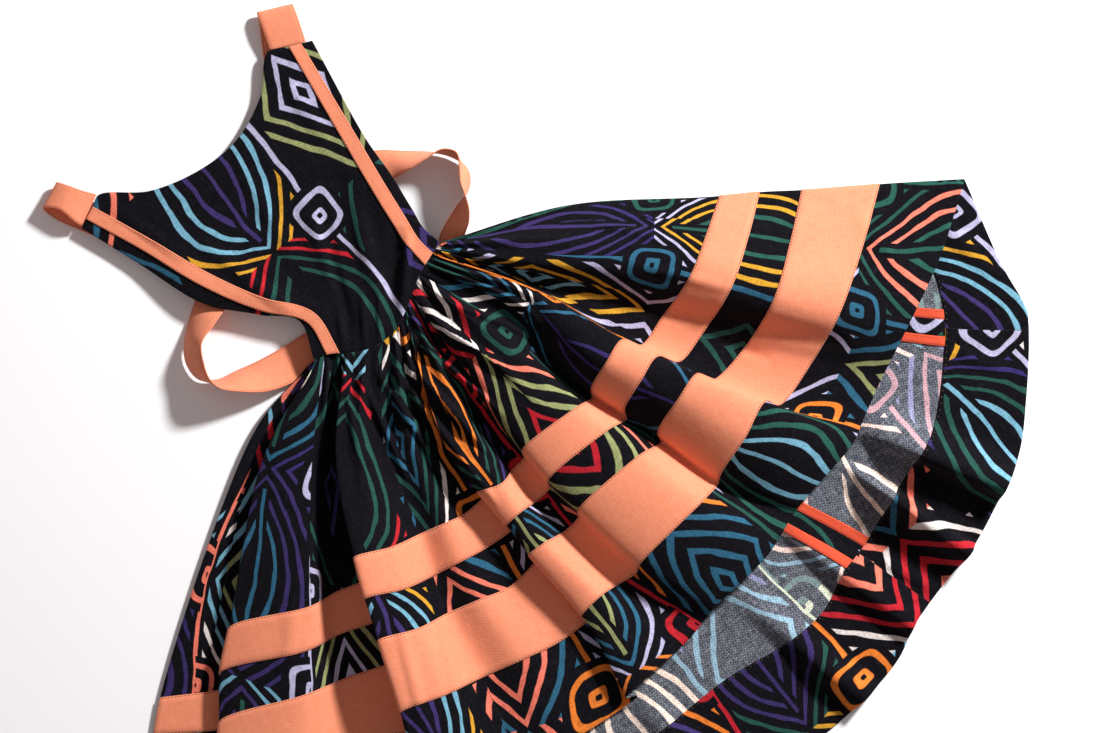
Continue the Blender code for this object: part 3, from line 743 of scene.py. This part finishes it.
def thread_material(name, colour):
    cloth = Cloth(name, 0.6, 0.1)
    uneven = cloth.noise(cloth.node("ShaderNodeTexCoord").outputs["Object"], 900, 1.0)
    lit = linear(colour)
    darker = (*(value * 0.5 for value in lit[:3]), 1)
    cloth.put(cloth.shader.inputs["Base Color"], cloth.mix(uneven, darker, lit))
    return cloth.material


# Cloth pieces.


def link(name, data):
    made = bpy.data.objects.new(name, data)
    bpy.context.scene.collection.objects.link(made)
    return made


def shell(name, grid, facing, low, high, flat, right_side, wrong_side):
    # A closed thin sheet: right side on the facing's side, wrong side below, soft rim between them.
    rows, columns = grid.shape[:2]
    count = rows * columns
    middle = (low + high) / 2
    rim_out = np.zeros_like(grid)
    rim_out[0] += unit(grid[0] - grid[1])
    rim_out[-1] += unit(grid[-1] - grid[-2])
    rim_out[:, 0] += unit(grid[:, 0] - grid[:, 1])
    rim_out[:, -1] += unit(grid[:, -1] - grid[:, -2])
    index = np.arange(count).reshape(rows, columns)
    ring = list(index[0, :]) + list(index[1:, -1]) + list(index[-1, -2::-1]) + list(index[-2:0:-1, 0])
    bulge = (grid + facing * middle / 1000 + unit(rim_out) * (high - low) * 0.45 / 1000).reshape(-1, 3)[ring]
    top = (grid + facing * high / 1000).reshape(-1, 3)
    bottom = (grid + facing * low / 1000).reshape(-1, 3)
    points = np.concatenate([top, bottom, bulge])
    a = index[:-1, :-1].ravel()
    b = index[:-1, 1:].ravel()
    c = index[1:, 1:].ravel()
    d = index[1:, :-1].ravel()
    faces = np.concatenate([np.stack([a, b, c, d], 1), np.stack([a, d, c, b], 1) + count]).tolist()
    upper = len(a)
    length = len(ring)
    for here in range(length):
        there = (here + 1) % length
        p = int(ring[here])
        q = int(ring[there])
        faces.append([p, 2 * count + here, 2 * count + there, q])
        faces.append([2 * count + here, p + count, q + count, 2 * count + there])
    mesh = bpy.data.meshes.new(name)
    mesh.from_pydata(points.tolist(), [], faces)
    mesh.shade_smooth()
    whole = flat if flat.ndim == 3 else np.concatenate([flat[:, :, 0], flat[:, -1:, 1]], axis=1)
    whole = whole.reshape(-1, 2)
    all_flat = np.concatenate([whole, whole, whole[ring]])
    corners = np.empty(len(mesh.loops), dtype=np.int32)
    mesh.loops.foreach_get("vertex_index", corners)
    values = all_flat[corners]
    if flat.ndim == 4:
        # Here flat holds both sides of each column of faces.
        near = flat[:-1]
        far = flat[1:]
        quads = np.stack([near[:, :, 0], near[:, :, 1], far[:, :, 1], far[:, :, 0]], axis=2)
        values[: upper * 4] = quads.reshape(-1, 2)
        values[upper * 4 : upper * 8] = quads[:, :, [0, 3, 2, 1]].reshape(-1, 2)
    layer = mesh.uv_layers.new(name="cloth")
    layer.data.foreach_set("uv", values.astype(np.float32).ravel())
    mesh.materials.append(right_side)
    mesh.materials.append(wrong_side)
    slots = np.zeros(len(faces), dtype=np.int32)
    slots[upper : 2 * upper] = 1
    mesh.polygons.foreach_set("material_index", slots)
    mesh.update()
    return link(name, mesh)


def cut_coordinates(points, rows):
    # Flat coordinates of a gathered panel, in metres: along the cloth's width, and down it.
    widths = np.mean([arc(points[row]) for row in rows], axis=0)
    lengths = arc(points)
    return np.stack([np.broadcast_to(widths, lengths.shape), lengths], axis=-1)


def strip_coordinates(points):
    # Flat coordinates of a strip, in metres: down its length, and over its width.
    return np.stack([arc(points), arc(points, 1)], axis=-1)


def gathered_coordinates(points, rows, crests, loose_rows):
    # As cut_coordinates, but near the waist each gather keeps the print's own width, and what is left
    # over is hidden between the gathers. loose_rows is 1 where that holds and 0 where it has ended.
    base = cut_coordinates(points, rows)
    widths = base[0, :, 0]
    over = arc(points, 1)
    columns = points.shape[1] - 1
    found = np.empty((points.shape[0], columns, 2, 2))
    edges = [0] + [int((a + b) // 2) for a, b in zip(crests[:-1], crests[1:])] + [columns]
    for crest, first, last in zip(crests, edges[:-1], edges[1:]):
        own = over[:, first : last + 1] - over[:, crest : crest + 1]
        flat_width = widths[last] - widths[first]
        own_width = np.maximum(over[:, last] - over[:, first], 1e-5)
        spread = own * (flat_width / own_width)[:, None]
        spread = spread - (spread[:, :1] - (widths[first] - widths[crest]))
        across = widths[crest] + own * loose_rows[:, None] + spread * (1 - loose_rows[:, None])
        found[:, first:last, 0, 0] = across[:, :-1]
        found[:, first:last, 1, 0] = across[:, 1:]
    found[:, :, 0, 1] = base[:, :-1, 1]
    found[:, :, 1, 1] = base[:, 1:, 1]
    return found


def broken(flat, seams):
    # The same flat coordinates for both sides of each column of faces, with a jump at every seam.
    pairs = np.stack([flat[:, :-1], flat[:, 1:]], axis=2)
    for column in seams:
        pairs[:, column:] += BACK_JUMP
    return pairs


def declare(piece, node):
    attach(piece, "root")
    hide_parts(node)


def read_line(values, places, wanted):
    return np.stack([np.interp(wanted, places, values[:, k]) for k in range(3)], axis=1)


def stitches(name, runs, thread):
    # Short raised stitches: each run is a line of points, the normals there, and the stitch's sizes.
    points = []
    faces = []
    for line, lifts, (pitch, length, width, height) in runs:
        places = arc(line)
        count = max(int(places[-1] / (pitch / 1000)), 1)
        middles = (np.arange(count) + 0.5) * places[-1] / count
        centres = read_line(line, places, middles)
        ups = unit(read_line(lifts, places, middles))
        ways = unit(read_line(line, places, middles + 0.0005) - read_line(line, places, middles - 0.0005))
        sides = unit(np.cross(ways, ups))
        for centre, up, way, side in zip(centres, ups, ways, sides):
            first = len(points)
            half = way * length / 2000
            for share, wide, high in ((-1, 0.35, 0), (-0.55, 1, 0.8), (0.55, 1, 0.8), (1, 0.35, 0)):
                for turn in (-1, 0, 1):
                    lift = high * height / 1000 * (1.0 if turn == 0 else 0.25)
                    points.append(centre + half * share + side * turn * wide * width / 2000 + up * lift)
            for part in range(3):
                for turn in range(2):
                    a = first + part * 3 + turn
                    faces.append((a, a + 1, a + 4, a + 3))
    mesh = bpy.data.meshes.new(name)
    mesh.from_pydata([tuple(p) for p in points], [], faces)
    mesh.shade_smooth()
    mesh.materials.append(thread)
    made = link(name, mesh)
    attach(made, "root")
    return made


def edge_runs(points, lifts, inset, sizes):
    # Stitch lines beside the first row and the last one, a little way in.
    runs = []
    for at, towards in ((0, 1), (-1, -2)):
        way = unit(points[towards] - points[at])
        runs.append((points[at] + way * inset / 1000, lifts[at], sizes))
    return runs


def rows_of(grid):
    return grid


def columns_of(grid):
    return np.swapaxes(grid, 0, 1)


def end_columns_of(grid):
    return np.stack([grid[:, 0], grid[:, -1]])


def lay_strip(node, cut, under, wall, grids, flat, cloth, sewing=None):
    # A strip on another piece. grids are its points and their normals. sewing says how its long edges
    # are stitched: which lines they are, how far in, the stitches' sizes and the thread.
    points, lifts = grids
    low = wall / 2 + SEAM_GAP
    high = low + SHELL_WALL
    strip = shell(node + "_cloth", points, lifts, low, high, flat, cloth, cloth)
    if sewing:
        lines, inset, sizes, thread = sewing
        runs = edge_runs(lines(points + lifts * high / 1000), lines(lifts), inset, sizes)
        stitches(node + "_stitches", runs, thread)
    declare(strip, node)


def add_gathers(grid, rows):
    # Small ridges that start at the waist seam and fade out in the yoke: even, uneven and deep ones.
    number = np.arange(grid.shape[1]) / FINE_COLUMNS
    wave = np.cos(number * 2 * math.pi / COLUMNS_PER_GATHER)
    wave[0] = wave[-1] = 0
    rise = np.interp(rows, [0, 30, 70, 190], [0, 0.8, 1, 0])
    uneven = np.sin(number * 2.9 + 1.3 * np.sin(number * 0.37)) * (0.6 + 0.4 * np.sin(number * 0.83 + 1))
    uneven = uneven * np.interp(number, [0, 3, number[-1] - 3, number[-1]], [0, 1, 1, 0])
    short = np.interp(rows, [0, 8, 30, 95], [0.3, 1, 0.7, 0])
    sharp = 1 - np.abs(np.sin(number * math.pi / COLUMNS_PER_GATHER)) ** 0.7
    strong = 0.55 + 0.45 * np.sin(np.round(number / COLUMNS_PER_GATHER) * 2.4 + 0.8)
    strong = strong * np.interp(number, [0, 4, number[-1] - 6, number[-1]], [0, 1, 1, 0])
    deep = np.interp(rows, [0, 14, 60, 150, 240], [0, 0.8, 1, 0.5, 0])
    grid[:, :, 2] += EVEN_GATHER * rise[:, None] * wave
    grid[:, :, 2] += UNEVEN_GATHER * short[:, None] * uneven
    grid[:, :, 2] += DEEP_GATHER * deep[:, None] * (sharp * strong)


def build_front(cloths):
    lines = [[waist_point(line[2], line[3], -WAIST_SHIFT)] + list(line[4:]) for line in FRONT_LINES]
    steps = finer([line[1] for line in FRONT_LINES[:-1]], FINE_COLUMNS)
    row_steps = finer(FRONT_ROWS, FINE_ROWS)
    grid = surface(lines, FRONT_STATIONS, row_steps, steps)
    rows = shares(np.array(FRONT_STATIONS), row_steps)
    add_gathers(grid, rows)
    grid[:, :, 2] += back_height(grid)
    grid[:, :, 2] += crease(grid, FRONT_CREASES)
    points = place(grid)
    facing = normals(points)
    hem_rows = range(sum(row_steps[:4]), len(rows), 6)
    flat = cut_coordinates(points, hem_rows)
    crests = list(range(0, grid.shape[1], COLUMNS_PER_GATHER * FINE_COLUMNS))
    loose = np.interp(rows, [0, 120, 270], [1, 1, 0])
    front_flat = gathered_coordinates(points, hem_rows, crests, loose)
    # The print breaks at the front's own seam.
    seam = FINE_COLUMNS * sum(line[1] for line in FRONT_LINES if line[2] < FRONT_SEAM_AT)
    front_flat[:, seam:] += FRONT_JUMP
    half = SHELL_WALL / 2
    sides = (cloths["print"], cloths["inside"])
    front = shell("skirt_front_cloth", points, facing, -half, half, front_flat, *sides)
    starts = np.concatenate([[0], np.cumsum(row_steps)])
    sewing = (rows_of, EDGE_INSET, BAND_STITCH, cloths["thread"])
    for name, first, last in (("skirt_band_narrow", 2, 3), ("skirt_band_wide", 4, 5)):
        kept = slice(starts[first], starts[last] + 1)
        grids = (points[kept], facing[kept])
        where = (name, BAND_FLATS[name], "skirt_front_cloth", PRINT_WALL)
        lay_strip(*where, grids, flat[kept], cloths["band"], sewing)
    line = points[:, seam] + facing[:, seam] * half / 1000
    line = line + unit(points[:, seam + 1] - points[:, seam]) * 0.0012
    runs = []
    for first, last in ((6, starts[2] - 1), (starts[3] + 1, starts[4] - 1), (starts[5] + 1, len(rows) - 1)):
        runs.append((line[first:last], facing[first:last, seam], SEAM_STITCH))
    made = stitches("front_seam_stitches", runs, cloths["thread"])
    declare(front, "skirt_front")


def build_back(cloths):
    lines = []
    for name, _, along, inner, hem in BACK_LINES:
        start = waist_point(along, BACK_WALL / 2, -WAIST_SHIFT)[:2]
        straight = [[a + (b - a) * share for a, b in zip(start, inner)] for share in (0.36, 0.72)]
        way = [start, *BACK_SIDES.get(name, straight), inner, hem]
        lines.append([(across, down, BACK_WALL / 2) for across, down in way])
    steps = finer([line[1] for line in BACK_LINES[:-1]], FINE_COLUMNS)
    row_steps = finer(BACK_ROWS, FINE_ROWS)
    grid = surface(lines, BACK_STATIONS, row_steps, steps)
    grid[:, :, 2] += back_height(grid)
    # The left edge lies a little way in under the front's.
    grid[:, :, 0] += 4.0 * np.clip((np.arange(grid.shape[1]) - grid.shape[1] + 13) / 12, 0, 1)
    grid[:, :, 2] += np.maximum(crease(grid, BACK_CREASES), 0)
    points = place(grid)
    facing = normals(points)
    half = SHELL_WALL / 2
    flat = points[:, :, :2].copy()
    columns = dict(zip([line[0] for line in BACK_LINES], np.cumsum([0] + steps)))
    seams = [columns[f"seam {seam}"] for seam in (1, 2)]
    split = broken(flat, seams)
    back = shell("skirt_back_cloth", points, facing, -half, half, split, cloths["inside"], cloths["print"])
    facing_row = sum(row_steps[:3])
    low = BACK_WALL / 2 + SEAM_GAP
    high = low + SHELL_WALL
    hem_points = points[facing_row:]
    hem_facing = facing[facing_row:]
    # The turned-up hem shows the right side of the print, mirrored at the fold.
    split = broken(flat[facing_row:] * (1, -1) + FACING_SHIFT, seams)
    sides = (cloths["print"], cloths["inside"])
    hem = shell("hem_facing_cloth", hem_points, hem_facing, low, high, split, *sides)
    # Small hem stitches by the facing's inner edge, and its two seams.
    top = hem_points + hem_facing * high / 1000
    runs = edge_runs(top, hem_facing, HEM_INSET, HEM_STITCH)[:1]
    hem_stitches = stitches("hem_facing_stitches", runs, cloths["hem_thread"])
    runs = [(top[:, column], hem_facing[:, column], FACING_SEAM_STITCH) for column in seams]
    hem_seams = stitches("hem_facing_seams", runs, cloths["thread"])
    declare(back, "skirt_back")
    declare(hem, "hem_facing")
    kept = slice(FINE_ROWS, facing_row + 1)
    sewing = (end_columns_of, BINDING_INSET, BINDING_STITCH, cloths["binding_thread"])
    for seam in (1, 2):
        out = columns[f"seam {seam} bind out"]
        for name, first, last, cloth in (
            ("binding_a", 0, 1, "binding"),
            ("allowance", 1, 3, "print"),
            ("binding_b", 3, 4, "binding"),
        ):
            across = slice(out + first * FINE_COLUMNS, out + last * FINE_COLUMNS + 1)
            part = points[kept, across].copy()
            lift = facing[kept, across]
            # Pieces side by side stay a seam gap apart, and the strips end before the facing.
            part[-1] += unit(part[-2] - part[-1]) * 0.0006
            part[:, 0] += unit(part[:, 1] - part[:, 0]) * 0.0003
            part[:, -1] -= unit(part[:, -1] - part[:, -2]) * 0.0003
            strip_flat = flat[kept, across] + np.array([0.63 * seam, 0.3])
            node = f"seam_{seam}_{name}"
            stitched = sewing if cloth == "binding" else None
            where = (node, SEAM_FLATS[name], "skirt_back_cloth", BACK_WALL)
            lay_strip(*where, (part, lift), strip_flat, cloths[cloth], stitched)


def build_bib(cloths):
    lines = [list(line[3:]) + [waist_point(line[2], WAIST_HEIGHT, WAIST_SHIFT)] for line in BIB_LINES]
    steps = finer([line[1] for line in BIB_LINES[:-1]], 2 * FINE_COLUMNS)
    grid = surface(lines, BIB_STATIONS, finer(BIB_ROWS, FINE_ROWS), steps)
    grid[:, :, 2] += crease(grid, BIB_CREASES)
    points = place(grid)
    facing = normals(points)
    # The columns are turned round, so that the right side's faces look up.
    facing = (facing * np.sign(facing[:, :, 2:3]))[:, ::-1]
    points = points[:, ::-1]
    half = SHELL_WALL / 2
    flat = points[:, :, :2] + np.array([0.9, 0.05])
    bib = shell("bib_front_cloth", points, facing, -half, half, flat, cloths["print"], cloths["inside"])
    declare(bib, "bib_front")
    names = [line[0] for line in BIB_LINES][::-1]
    columns = dict(zip(names, np.cumsum([0] + steps[::-1])))
    sewing = (columns_of, EDGE_INSET, TAPE_STITCH, cloths["tape_thread"])
    for side, first, last in (("right", "outer", "inner"), ("left", "inner", "outer")):
        part = slice(columns[f"{side} tape {first}"], columns[f"{side} tape {last}"] + 1)
        grids = (points[:, part], facing[:, part])
        where = (f"bib_tape_{side}", TAPE_FLAT, "bib_front_cloth", PRINT_WALL)
        lay_strip(*where, grids, strip_coordinates(points[:, part]), cloths["tape"], sewing)


def build_strap(name, table, cloths):
    table = np.array(table, float)
    one = table[:, 0:3]
    other = table[:, 3:6]
    knots = chord_knots((one + other) / 2)
    wanted = shares(knots, [STRAP_ROWS] * (len(knots) - 1))
    one = spline(one, knots, wanted)
    other = spline(other, knots, wanted)
    bulge = spline(table[:, 6:7], knots, wanted)
    out = np.cross(other - one, np.gradient((one + other) / 2, axis=0))
    out /= np.linalg.norm(out, axis=1, keepdims=True)
    grid = []
    for share in np.linspace(0, 1, STRAP_COLUMNS):
        grid.append(one * (1 - share) + other * share + out * bulge * 4 * share * (1 - share))
    points = place(np.stack(grid, axis=1))
    facing = normals(points)
    half = STRAP_WALL / 2
    flat = strip_coordinates(points)
    strap = shell(name + "_cloth", points, facing, -half, half, flat, cloths["tape"], cloths["tape"])
    lines = edge_runs(columns_of(points), columns_of(facing), STRAP_INSET, STRAP_STITCH)
    runs = []
    for sign in (1, -1):
        runs += [(line + lift * sign * half / 1000, lift * sign, sizes) for line, lift, sizes in lines]
    made = stitches(name + "_stitches", runs, cloths["tape_thread"])
    declare(strap, name)


def build_studio():
    scene = bpy.context.scene
    floor = bpy.data.meshes.new("floor")
    corners = [(x * FLOOR_REACH, y * FLOOR_REACH, 0) for x, y in ((-1, -1), (1, -1), (1, 1), (-1, 1))]
    floor.from_pydata(corners, [], [(0, 1, 2, 3)])
    paper = Cloth("floor_paper", 0.9, 0.0)
    grain = paper.noise(paper.node("ShaderNodeTexCoord").outputs["Object"], 3.0, 2.0)
    colour = paper.mix(grain, (0.9, 0.91, 0.92, 1), (0.94, 0.94, 0.95, 1))
    paper.put(paper.shader.inputs["Base Color"], colour)
    floor.materials.append(paper.material)
    ground = link("floor", floor)
    ground.location.z = -0.0005
    turn = math.radians(LAY_ANGLE)
    camera_data = bpy.data.cameras.new("camera")
    camera_data.lens = CAMERA_LENS
    camera_data.sensor_width = SENSOR_WIDTH
    camera_data.clip_end = 50
    camera = link("camera", camera_data)
    middle = place(np.array([PICTURE_WIDTH / 2, PICTURE_HEIGHT / 2, 0.0]))
    distance = PICTURE_WIDTH / 1000 * CAMERA_LENS / SENSOR_WIDTH
    camera.location = (float(middle[0]), float(middle[1]), distance + 0.01)
    camera.rotation_euler = (0, 0, turn - math.pi / 2)
    scene.camera = camera
    # The key light comes from the picture's upper right, the fill from all round.
    key_data = bpy.data.lights.new("key light", "AREA")
    key_data.shape = "DISK"
    key_data.size = KEY_WIDTH
    key_data.energy = KEY_POWER
    key = link("key light", key_data)
    bearing = math.radians(KEY_BEARING)
    height = math.radians(KEY_ELEVATION)
    right = np.array([math.sin(turn), -math.cos(turn)])
    up = np.array([math.cos(turn), math.sin(turn)])
    flat = (right * math.cos(bearing) + up * math.sin(bearing)) * math.cos(height)
    towards = mathutils.Vector((float(flat[0]), float(flat[1]), math.sin(height)))
    key.location = towards * KEY_DISTANCE
    key.rotation_euler = towards.to_track_quat("Z", "Y").to_euler()
    world = bpy.data.worlds.new("studio")
    world.use_nodes = True
    background = world.node_tree.nodes["Background"]
    background.inputs["Color"].default_value = FILL_COLOUR
    background.inputs["Strength"].default_value = FILL_STRENGTH
    scene.world = world
    scene.view_settings.view_transform = "Standard"


def main():
    build_studio()
    cloths = {
        "print": printed_cloth("print_right_side", *PRINT_GROUND, PRINT_COLOURS, 0.92, 0.85, 0.35, 0.14),
        "inside": printed_cloth("print_wrong_side", *INSIDE_GROUND, INSIDE_COLOURS, 0.92, 0.9, 0.45, 0.24),
        "band": plain_twill("band_twill", *CORAL, 1.9, 0.6),
        "tape": plain_twill("tape_twill", *CORAL, 1.7, 0.6),
        "binding": plain_twill("seam_binding_twill", *RED, 1.7, 0.5),
    }
    for thread, (name, colour) in THREADS.items():
        cloths[thread] = thread_material(name, colour)
    build_back(cloths)
    build_front(cloths)
    build_strap("strap_right", STRAP_RIGHT, cloths)
    build_strap("strap_left", STRAP_LEFT, cloths)
    build_bib(cloths)


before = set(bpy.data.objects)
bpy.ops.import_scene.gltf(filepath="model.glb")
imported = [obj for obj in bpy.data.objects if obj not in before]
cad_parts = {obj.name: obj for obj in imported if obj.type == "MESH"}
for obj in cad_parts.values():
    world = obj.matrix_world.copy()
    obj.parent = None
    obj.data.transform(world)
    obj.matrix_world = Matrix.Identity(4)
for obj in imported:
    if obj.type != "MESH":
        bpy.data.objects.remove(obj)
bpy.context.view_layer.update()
main()
